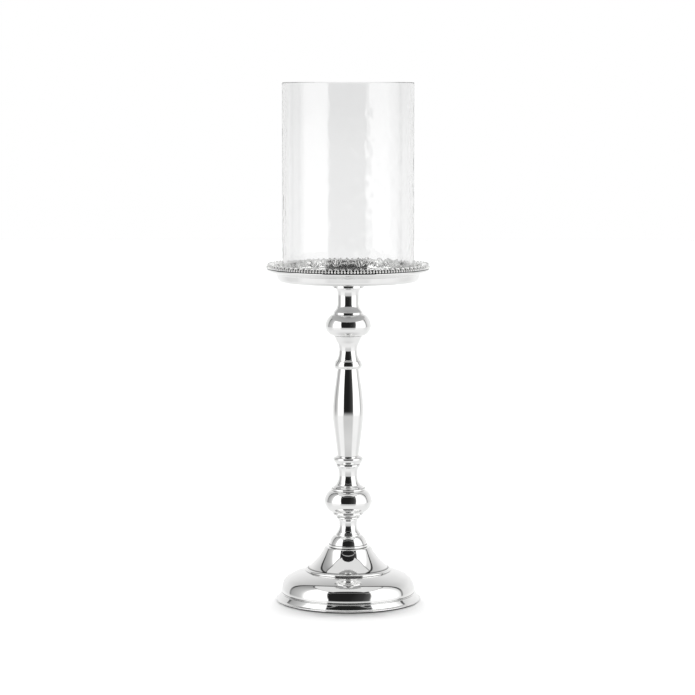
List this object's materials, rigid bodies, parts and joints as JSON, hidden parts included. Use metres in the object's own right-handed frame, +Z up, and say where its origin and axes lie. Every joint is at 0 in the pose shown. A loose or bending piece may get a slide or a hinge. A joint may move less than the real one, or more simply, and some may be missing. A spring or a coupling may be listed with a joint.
{
  "type": "candlestick with glass hurricane shade",
  "caption": "Tall turned candlestick of polished silver-plated metal with a domed foot, a beaded pan for a pillar candle and a loose clear glass cylinder as a wind shade.",
  "frame": {"origin": "on the axis of the stick, at the underside of the felt, which is the surface it stands on", "axes": "+Z up along the axis of the stick"},
  "size_m": [0.173, 0.173, 0.5503],
  "materials": {
    "polished_silver": "silver plate, mirror polished",
    "oxidised_silver": "silver plate, polished on the raised parts and darkened in the recesses",
    "clear_glass": "clear, smooth with a slight ripple, rim fire polished",
    "steel": "zinc plated",
    "felt": "short dense pile",
    "board": "plain pressed board"
  },
  "bodies": {
    "stick": {"felt_pad": "felt", "closing_disc": "board", "foot": "polished_silver", "foot_nut": "steel", "spring_washer": "steel", "foot_washer": "steel", "tie_rod": "steel", "foot_cap": "polished_silver", "lower_neck": "polished_silver", "lower_knop": "polished_silver", "waist_spool": "polished_silver", "baluster_cup": "polished_silver", "baluster": "polished_silver", "baluster_collar": "polished_silver", "upper_spool": "polished_silver", "upper_knop": "polished_silver", "capital": "polished_silver", "pan": "polished_silver", "relief_border": "oxidised_silver", "bead_rim": "oxidised_silver", "pan_nut": "polished_silver"},
    "shade": {"glass_shade": "clear_glass"}
  },
  "joints": [
    {"name": "shade_lift", "type": "slide", "parent": "stick", "child": "shade", "axis": [0, 0, 1], "range_m": [0, 0.22]}
  ]
}
